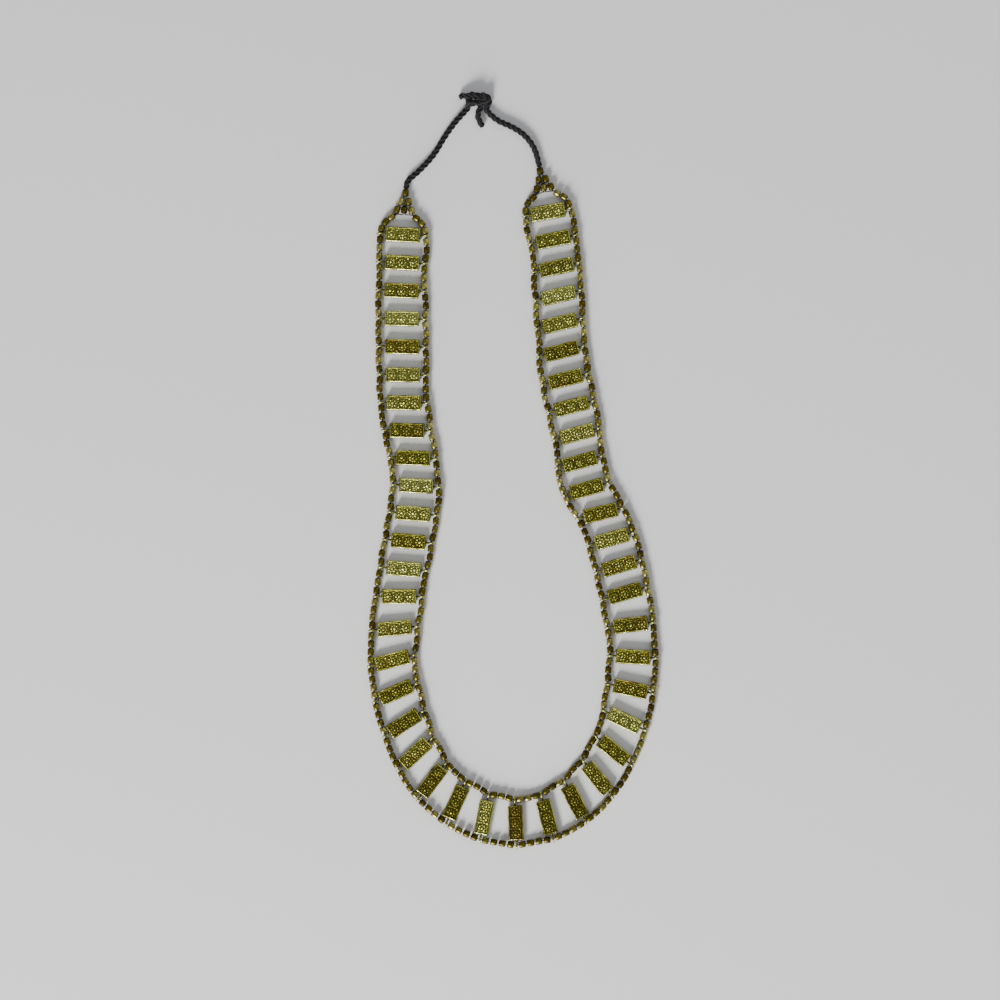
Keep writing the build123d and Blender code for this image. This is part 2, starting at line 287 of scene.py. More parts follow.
# %% Both strings, from the left end to the right one
def whole_string(side, bows):
    """Bead middles, bead directions and thread corners. Positive bows lead away from the plates."""
    rings = rung_middles + side * rung_axes * RING_SPACING / 2
    climb = left_end[side]
    stretches = [tuple(part[::-1] for part in climb)]
    for number in range(RUNG_COUNT - 1):
        bow = side * bows[number % len(bows)] * BEAD_LENGTH
        ends = rings[number], rings[number + 1]
        stretches.append(bead_stretch(*ends, bow, rung_axes[number], rung_axes[number + 1]))
    stretches.append(right_end[side])
    corners, middles, directions = zip(*stretches)
    way = [left_end["thread", side][::-1]] + [part[:-1] for part in corners]
    way += [corners[-1][-1:], right_end["thread", side]]
    return np.concatenate(middles), np.concatenate(directions), np.concatenate(way)


outer_middles, outer_directions, outer_way = whole_string(-1, OUTER_BOWS)
inner_middles, inner_directions, inner_way = whole_string(1, INNER_BOWS)
print("beads", len(outer_middles), "outer and", len(inner_middles), "inner")

# %% [markdown]
# ## From arrays to pieces
#
# Nearly every mesh here is a net of rings of points, so two helpers make most of the faces: one joins
# the rings, and the last one to the first where it is asked to, and the other closes a tube's two ends
# with a fan. The sum of the little pyramids from one point to every face is a shell's volume, and where
# it comes out negative the faces point inwards and are turned round.


# %% From arrays to pieces
def net_faces(rings, sides, looped):
    """Four-cornered faces between closed rings of points, the last joined to the first if looped."""
    index = np.arange(rings * sides).reshape(rings, sides)
    ahead = np.roll(index, -1, axis=0) if looped else index[1:]
    here = index if looped else index[:-1]
    faces = [here, np.roll(here, -1, axis=1), np.roll(ahead, -1, axis=1), ahead]
    return np.stack(faces, axis=-1).reshape(-1, 4)


def tube_shell(rings):
    """Points and faces of a tube from an array (rings, sides, 3), with a fan over each end."""
    count, sides = rings.shape[:2]
    points = np.concatenate([rings.reshape(-1, 3), [rings[0].mean(0), rings[-1].mean(0)]])
    first = np.arange(sides)
    last = first + (count - 1) * sides
    low_fan = np.stack([np.full(sides, count * sides), np.roll(first, -1), first], axis=-1)
    high_fan = np.stack([np.full(sides, count * sides + 1), last, np.roll(last, -1)], axis=-1)
    return points, [net_faces(count, sides, False), low_fan, high_fan]


def volume(points, groups):
    """The signed volume of a closed shell: a sixth of the sum of a . (b x c) over its triangles."""
    total = 0
    for faces in groups:
        for step in range(1, faces.shape[1] - 1):
            a, b, c = points[faces[:, 0]], points[faces[:, step]], points[faces[:, step + 1]]
            total += np.einsum("ij,ij->", a, np.cross(b, c)) / 6
    return total


def make_piece(name, shells, attributes, material, replaced=(), sharp=50):
    """One object from closed shells in millimetres, with a value at each point for each attribute."""
    faces = []
    offset = 0
    for points, groups in shells:
        outwards = 1 if volume(points - points.mean(0), groups) > 0 else -1
        for group in groups:
            faces += (group[:, ::outwards] + offset).tolist()
        offset += len(points)
    mesh = bpy.data.meshes.new(name)
    mesh.from_pydata((np.concatenate([points for points, groups in shells]) * MM).tolist(), [], faces)
    for title, values in attributes.items():
        kind = "FLOAT" if values.ndim == 1 else "FLOAT_VECTOR"
        layer = mesh.attributes.new(title, kind, "POINT")
        field = "value" if kind == "FLOAT" else "vector"
        layer.data.foreach_set(field, values.astype(np.float32).ravel())
    mesh.shade_smooth()
    mesh.set_sharp_from_angle(angle=np.radians(sharp))
    mesh.materials.append(material)
    piece = add_object(name, mesh)
    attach(piece, "root")
    if replaced:
        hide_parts(*replaced)
    return piece


square = [(0, 0), (1, 0), (1, 1), (0, 1)]
cube = tube_shell(np.array([[(x, y, z) for x, y in square] for z in (0.0, 1.0)]))
print("volume of a cube of side 1:", round(float(volume(*cube)), 3))

# %% [markdown]
# ## Effects that several finishes share
#
# Old brass is dark where fingers never reach and bare where cloth and skin rub it. One node group turns
# a relief value, high on what stands out, into two masks: bare metal and brown stain. A second group
# makes the fine tooth of old, worked metal, and a third the fibres of spun cotton. Each is built
# once, and every finish places it with its own values.


# %% Tools for node trees
def add_node(tree, kind, values=(), **settings):
    """Adds a node with its settings, and fills its inputs: a socket is linked, all else is a value."""
    node = tree.nodes.new(kind)
    for name, value in settings.items():
        setattr(node, name, value)
    for name, value in dict(values).items():
        if isinstance(value, bpy.types.NodeSocket):
            tree.links.new(value, node.inputs[name])
        else:
            node.inputs[name].default_value = value
    return node


def sums(tree, operation, first, second, third=None):
    """One step of arithmetic, and its result. third is for MULTIPLY_ADD."""
    values = {0: first, 1: second}
    if third is not None:
        values[2] = third
    return add_node(tree, "ShaderNodeMath", values, operation=operation).outputs[0]


def ramp(tree, value, low, high):
    """0 where value is at most low, 1 where it is at least high, and a smooth rise between them."""
    values = {"Value": value, "From Min": low, "From Max": high}
    node = add_node(tree, "ShaderNodeMapRange", values, interpolation_type="SMOOTHSTEP")
    return node.outputs["Result"]


def blend(tree, share, first, second):
    """A mix of two colours, all second where share is 1."""
    values = {0: share, 6: first, 7: second}
    return add_node(tree, "ShaderNodeMix", values, data_type="RGBA", clamp_factor=True).outputs[2]


def noise(tree, vector, scale, detail=2.0, roughness=0.5):
    """Cloudy values about one half, that many lumps to the metre."""
    values = {"Vector": vector, "Scale": scale, "Detail": detail, "Roughness": roughness}
    return add_node(tree, "ShaderNodeTexNoise", values).outputs["Fac"]


def new_group(name, inputs, outputs):
    """An empty group, its inputs given with their defaults, and None as the default of a vector."""
    tree = bpy.data.node_groups.new(name, "ShaderNodeTree")
    for title, default in inputs.items():
        kind = "NodeSocketVector" if default is None else "NodeSocketFloat"
        socket = tree.interface.new_socket(title, in_out="INPUT", socket_type=kind)
        if default is not None:
            socket.default_value = default
    for title in outputs:
        tree.interface.new_socket(title, in_out="OUTPUT", socket_type="NodeSocketFloat")
    return tree, tree.nodes.new("NodeGroupInput").outputs, tree.nodes.new("NodeGroupOutput").inputs


# %% The shared node groups
BARE_RELIEF = (0.22, 0.78)
STAIN_CLOUD = (0.48, 0.7)
FIBRE_STRETCH = (0.35, 3.2, 3.2)


def rubbed_patina():
    """Masks from relief: bare where relief plus cloudy noise is high, brown in slow wide patches."""
    inputs = {"Vector": None, "Relief": 0.5, "Spread": 0.3, "Clouds": 900.0, "Patches": 150.0}
    tree, given, result = new_group("rubbed patina", inputs, ["Bare", "Brown"])
    clouds = noise(tree, given["Vector"], given["Clouds"], 4.0, 0.6)
    stray = sums(tree, "MULTIPLY", sums(tree, "SUBTRACT", clouds, 0.5), given["Spread"])
    tree.links.new(ramp(tree, sums(tree, "ADD", given["Relief"], stray), *BARE_RELIEF), result["Bare"])
    patches = noise(tree, given["Vector"], given["Patches"], 3.0, 0.55)
    tree.links.new(ramp(tree, patches, *STAIN_CLOUD), result["Brown"])
    return tree


def metal_tooth():
    """Height of fine pits and of the soft dents between them."""
    inputs = {"Vector": None, "Pits": 5000.0, "Dents": 1200.0}
    tree, given, result = new_group("metal tooth", inputs, ["Height"])
    pits = noise(tree, given["Vector"], given["Pits"], 2.0, 0.7)
    dents = noise(tree, given["Vector"], given["Dents"], 1.0)
    tree.links.new(sums(tree, "MULTIPLY_ADD", pits, 0.4, dents), result["Height"])
    return tree


def spun_fibres():
    """Height and lightness of fibres: noise stretched thin along the thread's own lay."""
    inputs = {"Lay": None, "Fineness": 1.0}
    tree, given, result = new_group("spun fibres", inputs, ["Height", "Fuzz"])
    values = {0: given["Lay"], 1: FIBRE_STRETCH}
    stretched = add_node(tree, "ShaderNodeVectorMath", values, operation="MULTIPLY")
    fine = noise(tree, stretched.outputs[0], given["Fineness"], 3.0, 0.6)
    tree.links.new(fine, result["Height"])
    tree.links.new(ramp(tree, fine, 0.5, 0.75), result["Fuzz"])
    return tree


GROUPS = {"patina": rubbed_patina(), "tooth": metal_tooth(), "fibres": spun_fibres()}
print("node groups", [tree.name for tree in GROUPS.values()])

# %% [markdown]
# ## Two old brasses
#
# The plates are a greenish, olive gold, nearly yellow where the relief is rubbed, with umber in its
# hollows. The beads are darker and a shade browner. Both are metal with a rough film on it, so the film
# lowers the metal value as well as the shine. Each plate and bead carries a tint of its own, as pieces
# made from different batches of brass do. A painted picture of patina would need every piece unwrapped,
# while noise and relief need nothing but the shape.


# %% Old brass
PALE_TINTS = (0.3, 1.1)
STAINED_TINTS = (1.0, 0.2)
RUBBED_RELIEF = (0.62, 0.95)
FILM_METAL = 0.75
FILM_ROUGHNESS = 0.55
BARE_GAIN = 0.25
LOW_SPECULAR = 0.25
BUMP_DEPTH = 0.1 * MM


def place_group(tree, name, **values):
    """Puts a shared group into a material, with its own values, and gives the group's outputs."""
    return add_node(tree, "ShaderNodeGroup", values, node_tree=GROUPS[name]).outputs


def new_material(name):
    """A material with a principled shader, its tree and that shader's inputs."""
    material = bpy.data.materials.new(name)
    material.use_nodes = True
    tree = material.node_tree
    return material, tree, tree.nodes["Principled BSDF"].inputs


def old_brass(name, film, body, pale, rubbed, brown, spread, clouds, patches, bump):
    """Brass under a dark film: film in the hollows, body on the open metal, rubbed on what stands out.

    A piece with a low tint has more brown stain, and one with a high tint is pale.
    """
    material, tree, shader = new_material(name)
    place = tree.nodes.new("ShaderNodeTexCoord").outputs["Object"]
    relief = add_node(tree, "ShaderNodeAttribute", attribute_name="relief").outputs["Fac"]
    tint = add_node(tree, "ShaderNodeAttribute", attribute_name="tint").outputs["Fac"]
    sizes = {"Spread": spread, "Clouds": clouds, "Patches": patches}
    masks = place_group(tree, "patina", Vector=place, Relief=relief, **sizes)
    stained = sums(tree, "MULTIPLY", masks["Brown"], ramp(tree, tint, *STAINED_TINTS))
    open_metal = blend(tree, stained, blend(tree, ramp(tree, tint, *PALE_TINTS), body, pale), brown)
    shone = blend(tree, ramp(tree, relief, *RUBBED_RELIEF), open_metal, rubbed)
    tree.links.new(blend(tree, masks["Bare"], film, shone), shader["Base Color"])
    metal = sums(tree, "MULTIPLY_ADD", masks["Bare"], BARE_GAIN, FILM_METAL)
    roughness = sums(tree, "MULTIPLY_ADD", masks["Bare"], -BARE_GAIN, FILM_ROUGHNESS)
    tree.links.new(metal, shader["Metallic"])
    tree.links.new(roughness, shader["Roughness"])
    shader["Specular IOR Level"].default_value = LOW_SPECULAR
    height = place_group(tree, "tooth", Vector=place)["Height"]
    values = {"Height": height, "Strength": bump, "Distance": BUMP_DEPTH}
    dent = add_node(tree, "ShaderNodeBump", values)
    tree.links.new(dent.outputs["Normal"], shader["Normal"])
    return material


plate_brass = old_brass(
    "plate brass",
    film=(0.05, 0.04, 0.0025, 1),
    body=(0.25, 0.243, 0.028, 1),
    pale=(0.37, 0.385, 0.082, 1),
    rubbed=(0.6, 0.61, 0.22, 1),
    brown=(0.22, 0.145, 0.02, 1),
    spread=0.9,
    clouds=800,
    patches=160,
    bump=0.5,
)
bead_brass = old_brass(
    "bead brass",
    film=(0.03, 0.02, 0.0025, 1),
    body=(0.155, 0.124, 0.012, 1),
    pale=(0.25, 0.22, 0.036, 1),
    rubbed=(0.62, 0.57, 0.18, 1),
    brown=(0.135, 0.077, 0.008, 1),
    spread=1.2,
    clouds=1300,
    patches=400,
    bump=0.6,
)
print("brasses", plate_brass.name, "and", bead_brass.name)

# %% [markdown]
# ## Cotton
#
# The cord is dull black cotton, and the bead thread is a finer one, nearly as dark. Cotton has no gloss,
# but its standing fibres catch light at a glancing angle, which is what sheen is for. Sheen is one value
# all over, so it sits on the shader itself. The fibres follow the cord's lay, a coordinate that its mesh
# carries, because a pattern in plain space would slide across a cord that bends.


# %% Cotton
def cotton(name, dark, light, bump, sheen, fineness):
    """Spun cotton: fibres along the lay, lighter where they stand out."""
    material, tree, shader = new_material(name)
    lay = add_node(tree, "ShaderNodeAttribute", attribute_name="lay").outputs["Vector"]
    fibres = place_group(tree, "fibres", Lay=lay, Fineness=fineness)
    tree.links.new(blend(tree, fibres["Fuzz"], dark, light), shader["Base Color"])
    values = {"Height": fibres["Height"], "Strength": bump, "Distance": BUMP_DEPTH}
    raised = add_node(tree, "ShaderNodeBump", values)
    tree.links.new(raised.outputs["Normal"], shader["Normal"])
    shader["Roughness"].default_value = 0.9
    shader["Specular IOR Level"].default_value = LOW_SPECULAR
    shader["Sheen Weight"].default_value = sheen
    shader["Sheen Roughness"].default_value = 0.5
    return material


black_cotton = cotton(
    "black cotton",
    dark=(0.009, 0.008, 0.009, 1),
    light=(0.03, 0.028, 0.028, 1),
    bump=0.7,
    sheen=0.15,
    fineness=2.2,
)
bead_thread = cotton(
    "bead thread",
    dark=(0.014, 0.011, 0.008, 1),
    light=(0.045, 0.036, 0.026, 1),
    bump=0.4,
    sheen=0.1,
    fineness=4.0,
)
print("cottons", black_cotton.name, "and", bead_thread.name)

# %% [markdown]
# ## The black cord
#
# The cord lies free on the ground, so its line is one smooth spline through listed points, the same
# ones the frame's cord follows. Three plies are twisted round that line: seen in section they are three
# touching circles, whose outline turns steadily on the way along. Sweeping that outline makes the cord,
# which looks right from near, where a plain round tube would not. The knot and the threads are the same
# sweep, so one function makes them all.

# %% The cord's line
CORD_DIAMETER = 2.5
CORD_FIRST_RUN = 3.0
CORD_LAST_RUN = 5.0
COLLAR_REACH = 6.0
KNOT_PLACE = -14.5 + 163.2j
# the directions in which the two cords leave the knot, in degrees
KNOT_LEGS = {"left": 225, "right": 312}
# ground points that the cords pass on their way to the knot, in metres
CORD_POINTS = {
    "left": [(-0.0398, 0.1327), (-0.0356, 0.1366), (-0.0312, 0.1416), (-0.0276, 0.1481)],
    "right": [(0.0082, 0.1446), (0.0044, 0.1494), (-0.0008, 0.1526)],
}


def spline_through(points):
    """Points read from a NURBS spline of order 3 with these control points, all in metres."""
    curve = bpy.data.curves.new("line", "CURVE")
    curve.dimensions = "3D"
    curve.resolution_u = 24
    spline = curve.splines.new("NURBS")
    spline.points.add(len(points) - 1)
    spline.points.foreach_set("co", np.column_stack([points, np.ones(len(points))]).ravel())
    spline.order_u = 3
    spline.use_endpoint_u = True
    holder = add_object("line", curve)
    mesh = bpy.data.meshes.new_from_object(holder)
    line = np.array([vertex.co[:] for vertex in mesh.vertices])
    bpy.data.objects.remove(holder)
    bpy.data.meshes.remove(mesh)
    return line


def evenly(line, step):
    """The same line with points about a step apart, and the length along it at each of them."""
    lengths = np.concatenate([[0], np.cumsum(np.linalg.norm(np.diff(line, axis=0), axis=1))])
    marks = np.linspace(0, lengths[-1], int(lengths[-1] / step) + 1)
    return np.stack([np.interp(marks, lengths, line[:, n]) for n in range(3)], axis=-1), marks


def cord_line(name, end):
    """The cord's line in metres: out of the triangle, along the chosen points, into the knot."""
    finish = KNOT_PLACE + turned(KNOT_LEGS[name]) * COLLAR_REACH
    control = [end["top"], end["top"] + end["ways"][0] * CORD_FIRST_RUN]
    control += [complex(*point) / MM for point in CORD_POINTS[name]]
    control += [finish + turned(KNOT_LEGS[name]) * CORD_LAST_RUN, finish]
    height = CORD_DIAMETER / 2
    return spline_through([(place.real * MM, place.imag * MM, height * MM) for place in control])


cord_lines = {"left": cord_line("left", left_end), "right": cord_line("right", right_end)}
print("cord lines of", [len(line) for line in cord_lines.values()], "points")

# %% The twisted cord
PLIES = 3
TWIST_LENGTH = 7.0
CORD_SIDES = 30
PLY_FILL = 0.2
END_ROUNDING = 0.5
END_SHARE = 0.05
GROOVE_ANGLE = 75


def full_turn(count):
    """That many angles, evenly spread once round."""
    return np.linspace(0, 2 * np.pi, count, endpoint=False)


def side_and_up(line, above):
    """Unit vectors square to a line: first those that are square to above too, then their partners."""
    ahead = np.gradient(line, axis=0)
    ahead /= np.linalg.norm(ahead, axis=1, keepdims=True)
    side = np.cross(above, ahead)
    side /= np.linalg.norm(side, axis=1, keepdims=True)
    return side, np.cross(ahead, side)


def twisted(
    line, diameter, twist_length, step=0.25, start=0.0,
    sides=CORD_SIDES, free=(True, True), above=(0, 0, 1),
):
    """Points, faces and lay of a three-ply cord round a line in millimetres.

    Its free ends are rounded, and start is the length that its twist has run before it begins.

    A ply's circle has radius b about a middle at distance a, and a + b is the cord's radius. At an
    angle t from the ply's middle the outline is a cos t + the root of (b squared - a squared sin
    squared t). PLY_FILL of the way back to a circle makes its grooves shallow, and the whole outline
    turns once in every twist length.
    """
    line, marks = evenly(line, step)
    side, up = side_and_up(line, above)
    ply = diameter / 2 / (1 + 2 / np.sqrt(3))
    offset = diameter / 2 - ply
    section = full_turn(sides)
    within = (section + np.pi / PLIES) % (2 * np.pi / PLIES) - np.pi / PLIES
    lobed = offset * np.cos(within) + np.sqrt(np.clip(ply**2 - (offset * np.sin(within)) ** 2, 0, None))
    from_start = marks + END_ROUNDING * (not free[0])
    from_finish = marks[-1] - marks + END_ROUNDING * (not free[1])
    rounding = np.minimum(from_start, from_finish) / END_ROUNDING
    taper = np.sqrt(np.clip(1 - (1 - rounding).clip(0) ** 2, END_SHARE, 1))
    radius = ((1 - PLY_FILL) * lobed + PLY_FILL * diameter / 2) * taper[:, None]
    around = section + 2 * np.pi * (marks[:, None] + start) / twist_length
    outwards = np.cos(around)[..., None] * side[:, None] + np.sin(around)[..., None] * up[:, None]
    rings = line[:, None] + radius[..., None] * outwards
    along, turn = np.broadcast_arrays(marks[:, None] + start, section)
    lay = np.stack([along, np.cos(turn), np.sin(turn)], axis=-1)
    lay = np.concatenate([lay.reshape(-1, 3), lay[0, :1], lay[-1, :1]])
    return *tube_shell(rings), lay


def twisted_piece(name, sweeps, material, replaced, sharp=180):
    """One object from sweeps, each with its points, faces and lay."""
    shells = [(points, faces) for points, faces, lay in sweeps]
    lays = np.concatenate([lay for points, faces, lay in sweeps])
    return make_piece(name, shells, {"lay": lays}, material, replaced, sharp)


cord_lengths = {}
for name, line in cord_lines.items():
    cord_lengths[name] = float(np.linalg.norm(np.diff(line, axis=0), axis=1).sum()) / MM
    sweep = twisted(line / MM, CORD_DIAMETER, TWIST_LENGTH, free=(True, False))
    twisted_piece(
        f"cord_{name}_twisted", [sweep], black_cotton, [f"cord_{name}"], GROOVE_ANGLE
    )
    print("cord", name, len(sweep[0]), "points")

# %% [markdown]
# ## The knot
#
# The two ends are joined by a reef knot: each cord goes in, round and back out beside itself, and the
# two loops hold each other. Its ways are a few listed points with their heights, high where a cord
# passes over the other and low where it passes under. Splines through them and the same twisted outline
# give the knot, and each cord leaves a short tail. A simulated rope would tie itself, but a few points
# are quicker to correct.

# %% The knot
# across, up and height of each cord's way, in millimetres from the knot's middle on the ground
KNOT_WAYS = {
    "left": [
        (-4.24, -4.24, 1.25), (-3.5, -3.5, 1.3), (-3.4, -1.4, 3.2), (-1.6, -1.2, 3.1), (0.2, -1.4, 1.4),
        (2.2, -1.8, 2.0), (3.4, -1.1, 3.2), (3.8, 0.0, 3.4), (3.4, 1.1, 3.2), (2.2, 1.8, 2.0),
        (0.2, 1.4, 1.4), (-1.6, 1.2, 3.1), (-3.6, 1.2, 3.2), (-5.4, 1.7, 1.4), (-7.2, 1.0, 1.25),
    ],
    "right": [
        (4.01, -4.46, 1.25), (3.7, -4.1, 1.25), (3.8, -3.2, 1.3), (5.1, -1.2, 1.3), (4.6, 1.2, 1.3),
        (2.4, 1.2, 1.4), (0.8, 1.3, 2.9), (-0.6, 1.5, 3.5), (-2.3, 2.0, 2.2), (-3.3, 1.3, 1.35),
        (-3.6, 0.0, 1.25), (-3.3, -1.3, 1.35), (-2.3, -2.0, 2.2), (-0.6, -1.5, 3.5), (0.9, -1.3, 2.9),
        (2.0, -2.0, 1.4), (0.9, -4.2, 1.25), (0.3, -6.0, 1.25), (0.8, -8.4, 1.25), (2.5, -11.0, 1.25),
    ],
}
sweeps = []
for name, way in KNOT_WAYS.items():
    ground = np.array(way) + (KNOT_PLACE.real, KNOT_PLACE.imag, 0)
    line = spline_through(ground * MM) / MM
    start = cord_lengths[name]
    sweeps.append(twisted(line, CORD_DIAMETER, TWIST_LENGTH, start=start, free=(False, True)))
knot = twisted_piece("knot", sweeps, black_cotton, ["cord_knot"], GROOVE_ANGLE)
for name, line in cord_lines.items():
    print("cord", name, round(cord_lengths[name], 1), "mm")

# %% [markdown]
# ## The beads
#
# Each bead is a short brass drum with bevelled ends, drilled for its thread. A closed outline of six
# points, carried round the bead's axis in ten steps, has only sixty faces, which is enough for a thing
# 2.7 mm long that occurs over three hundred times. All the beads of a string are worked out as one
# array. Small differences of length, girth, roundness and angle keep them from looking stamped out by
# a machine. Round the curve a painted shade lowers their wear a little, so they come out darker than on
# the arms.

# %% The beads
BEAD_SIDES = 10
BEAD_SHOULDER = 0.95
SHOULDER_RADIUS = BEAD_RADIUS - 0.03
BODY_RELIEF = 0.75
END_RELIEF = 0.35
LENGTH_SPREAD = 0.015
GIRTH_SPREAD = 0.02
SWELLING = 0.03
DENTS = 0.008
AIM_SPREAD = 1.6
ASIDE_SPREAD = 0.05
BEAD_WEAR = (-0.32, 0.1)
# how much a painted shade round the curve lowers a bead's wear, where that shade starts and how far it runs
BEAD_CURVE_SHADE = 0.07
CURVE_SHADE_FROM = -40
CURVE_SHADE_RUN = 80


def smooth(value):
    """0 up to 0, 1 from 1 on, and a smooth step between."""
    value = np.clip(value, 0, 1)
    return value**2 * (3 - 2 * value)


def curve_shade(places):
    """Painted shade: 0 on the two arms, rising to 1 round the curve, for places as complex numbers."""
    return smooth((CURVE_SHADE_FROM - places.imag) / CURVE_SHADE_RUN)


def bead_shells(middles, directions):
    """All the beads of a string as one array of points, with their relief and tint.

    A point at step x along the outline and radius r lies at the middle + x times the direction +
    r (cos t times the side + sin t times up), with r swelling a little twice round each bead.
    """
    count = len(middles)
    outline = np.array([
        (-BEAD_HALF, BEAD_BORE_RADIUS, 0.0),
        (-BEAD_HALF, BEAD_END_RADIUS, END_RELIEF),
        (-BEAD_SHOULDER, SHOULDER_RADIUS, BODY_RELIEF),
        (BEAD_SHOULDER, SHOULDER_RADIUS, BODY_RELIEF),
        (BEAD_HALF, BEAD_END_RADIUS, END_RELIEF),
        (BEAD_HALF, BEAD_BORE_RADIUS, 0.0),
    ])
    step, radius, relief = outline.T
    length = chance.normal(1, LENGTH_SPREAD, count)[:, None, None]
    girth = chance.normal(1, GIRTH_SPREAD, count)[:, None, None]
    roll = chance.uniform(0, np.pi, count)[:, None, None]
    around = full_turn(BEAD_SIDES) + roll
    swell = 1 + SWELLING * np.cos(2 * around + chance.uniform(0, 6, count)[:, None, None])
    swell = swell + chance.normal(0, DENTS, (count, len(outline), BEAD_SIDES))
    aim = (directions * turned(chance.normal(0, AIM_SPREAD, count)))[:, None, None]
    aside = chance.normal(0, ASIDE_SPREAD, count)[:, None, None]
    radius = radius[None, :, None] * girth * swell
    along = step[None, :, None] * length
    flat = middles[:, None, None] + aim * (along + 1j * (radius * np.cos(around) + aside))
    height = np.maximum(BEAD_RADIUS + radius * np.sin(around), 0)
    points = np.stack([flat.real, flat.imag, height], axis=-1).reshape(-1, 3)
    faces = net_faces(len(outline), BEAD_SIDES, True)
    faces = (faces[None] + np.arange(count)[:, None, None] * len(outline) * BEAD_SIDES).reshape(-1, 4)
    # each bead's random wear, lowered round the curve by a painted shade that darkens those beads
    wear_and_shade = (chance.uniform(*BEAD_WEAR, count) - BEAD_CURVE_SHADE * curve_shade(middles))[:, None, None]
    relief = np.clip(np.broadcast_to(relief[None, :, None] + wear_and_shade, radius.shape), 0, 1)
    tint = np.repeat(chance.uniform(0, 1, count), len(outline) * BEAD_SIDES)
    return (points, [faces]), {"relief": relief.ravel(), "tint": tint}


for name, middles, directions, node in (
    ("beads_outer", outer_middles, outer_directions, "outer_beads"),
    ("beads_inner", inner_middles, inner_directions, "inner_string"),
    ("beads_left_end", np.array(left_end["middles"]), np.array(left_end["ways"]), "left_end_beads"),
    ("beads_right_end", np.array(right_end["middles"]), np.array(right_end["ways"]), "right_end_beads"),
):
    shell, attributes = bead_shells(middles, directions)
    make_piece(name, [shell], attributes, bead_brass, [node])
    low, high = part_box(node)
    reach = np.abs([shell[0].min(0) - np.array(low) / MM, shell[0].max(0) - np.array(high) / MM]).max()
    print(name, len(middles), "beads, farthest from the frame's box", round(float(reach), 2), "mm")

# %% [markdown]
# ## The threads
#
# One dark thread runs through each string, from the cord at one end to the cord at the other. It is the
# cord's own sweep again, finer, along a spline through the corners that placed the beads. The spline
# meets every bead in its middle and rounds the corners between them, as a pulled thread does.

# %% The threads
THREAD_TWIST = 1.8
THREAD_SIDES = 12
THREAD_STEP = 0.45
for name, way, replaced in (
    ("thread_outer", outer_way, ["outer_thread"]),
    ("thread_inner", inner_way, []),
):
    corners = np.column_stack([way.real, way.imag, np.full(len(way), BEAD_RADIUS)])
    line = spline_through(corners * MM) / MM
    sweep = twisted(line, THREAD_DIAMETER, THREAD_TWIST, THREAD_STEP, sides=THREAD_SIDES)
    twisted_piece(name, [sweep], bead_thread, replaced)
    print(name, len(sweep[0]), "points")

# %% [markdown]
# ## The tie threads
#
# The middle bead of each triangle hangs on a thread of its own. It goes once round the string's thread
# at the triangle's foot, across to the bead, up through its hole, and ends in a small round knot that
# can't slip back. Each tie is two such threads, one from either string. The way is flat for the most
# part but stands upright in its two loops, so the sweep is told to measure from a slanting direction
# that the way never takes.

# %% The tie threads
LOOP_RADIUS = 0.49
LOOP_CLIMB = 0.02
KNOT_RADIUS = 0.56
TIE_LEVEL = 0.1
TIE_SAG = 0.05
TIE_ASIDE = 0.24
TIE_BEND = 0.15
TIE_STEP = 0.15


def tie_way(end, side):
    """Control points (across, up, height) of one tie thread, in the triangle's own directions.

    A loop is the circle R cos t, R sin t, drawn across the thread that it goes round.
    """
    foot, rise, row_3 = end["tie"]
    turn = np.radians(np.arange(-45, 361, 45))[:, None]
    around = [foot - LOOP_RADIUS * np.cos(turn), rise + LOOP_CLIMB * turn, LOOP_RADIUS * np.sin(turn)]
    bore = [
        (foot / 2, rise + TIE_LEVEL, -TIE_SAG), (BEAD_BORE_RADIUS, rise + TIE_LEVEL, 0),
        (TIE_ASIDE, rise + TIE_LEVEL + TIE_BEND, 0), (TIE_ASIDE, row_3, 0),
        (TIE_ASIDE, row_3 + BEAD_HALF, 0),
    ]
    turn = np.radians(np.arange(0, 226, 45))[:, None]
    level = row_3 + BEAD_HALF + THREAD_GAP + THREAD_DIAMETER / 2
    head = np.hstack([KNOT_RADIUS * np.cos(turn), level + 0 * turn, KNOT_RADIUS * np.sin(turn)])
    return np.concatenate([np.hstack(around), bore, head]) * (side, 1, side) + (0, 0, BEAD_RADIUS)


for name, end, middle, axis in (
    ("left", left_end, rung_middles[0], rung_axes[0]),
    ("right", right_end, rung_middles[-1], rung_axes[-1]),
):
    sweeps = []
    for side in (-1, 1):
        across, upwards, height = tie_way(end, side).T
        ground = middle + axis * across + end["ways"][0] * upwards
        slant = end["ways"][0] + axis * side
        line = spline_through(np.column_stack([ground.real, ground.imag, height]) * MM) / MM
        above = (slant.real, slant.imag, 0)
        sweep = twisted(line, THREAD_DIAMETER, THREAD_TWIST, TIE_STEP, sides=THREAD_SIDES, above=above)
        sweeps.append(sweep)
    twisted_piece(f"tie_{name}", sweeps, bead_thread, [f"{name}_tie_thread"])
    print("tie", name, len(sweeps[0][0]), "points a side")

# %% [markdown]
# ## The plates
#
# A plate is a block with a raised, bevelled rim round a sunk field. Three rosettes stand in the field,
# each with eight petals and a round stud, small studs and leaves fill the corners between them, and a
# row of grains follows the rim. The top is a height over a fine grid: every ornament is a formula of x
# and y, and the highest of them at each place is the relief. Modelled as solids these would take far
# longer, and a bump alone would be flat from the side. The grid is squeezed into round corners by
# pulling its four corner squares into quarter discs.

# %% The plate's grid
PLATE_LENGTH = 13.8
PLATE_WIDTH = 6.0
PLATE_BOTTOM = 0.65
PLATE_CORNER = 0.6
BEVEL = 0.3
RIM = 0.32
WALL_RUN = 0.12
FIELD_DEPTH = 0.35
FIELD_HEIGHT = 2.1
GRID_STEP = 0.12


